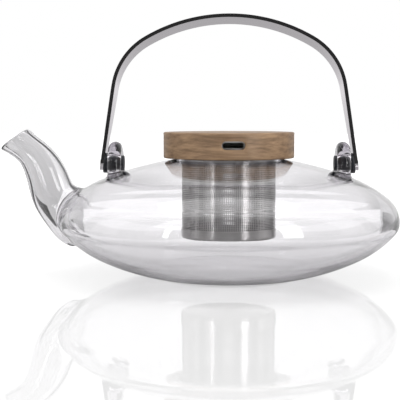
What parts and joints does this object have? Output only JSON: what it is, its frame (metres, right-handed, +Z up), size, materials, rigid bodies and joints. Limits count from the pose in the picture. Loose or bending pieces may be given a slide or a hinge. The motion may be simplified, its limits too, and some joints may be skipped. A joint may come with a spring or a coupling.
{
  "type": "glass teapot",
  "caption": "Low round clear-glass teapot with an S-curved spout, a wooden lid, a perforated steel infuser and a swinging steel bail handle.",
  "frame": {"origin": "middle of the flat base, on the surface that the pot stands on", "axes": "+Z up, -X towards the spout, -Y towards the front with the vent slot"},
  "size_m": [0.2238, 0.19, 0.1464],
  "materials": {
    "clear_glass": "polished clear",
    "infuser_steel": "satin",
    "lid_wood": "oiled",
    "seal_silicone": "matte",
    "handle_steel": "satin",
    "sleeve_silicone": "matte"
  },
  "bodies": {
    "pot": {"glass_base": "clear_glass", "glass_bowl": "clear_glass", "glass_waist": "clear_glass", "glass_shoulder": "clear_glass", "glass_neck": "clear_glass", "glass_spout": "clear_glass", "ear_left": "clear_glass", "ear_right": "clear_glass"},
    "infuser": {"infuser_wall": "infuser_steel", "infuser_base": "infuser_steel", "infuser_rim": "infuser_steel"},
    "lid": {"lid_cap": "lid_wood", "lid_liner": "infuser_steel", "lid_seal": "seal_silicone"},
    "handle": {"handle_strap": "handle_steel", "pivot_sleeve_left": "sleeve_silicone", "pivot_sleeve_right": "sleeve_silicone", "pivot_pin_left": "handle_steel", "pivot_pin_right": "handle_steel"}
  },
  "joints": [
    {"name": "handle_swing", "type": "hinge", "parent": "pot", "child": "handle", "pos_m": [0, 0, 0.06289], "axis": [1, 0, 0], "range_deg": [-84, 100]},
    {"name": "infuser_lift", "type": "slide", "parent": "pot", "child": "infuser", "axis": [0, 0, 1], "range_m": [0, 0.052]},
    {"name": "lid_lift", "type": "slide", "parent": "infuser", "child": "lid", "axis": [0, 0, 1], "range_m": [0, 0.05]}
  ]
}
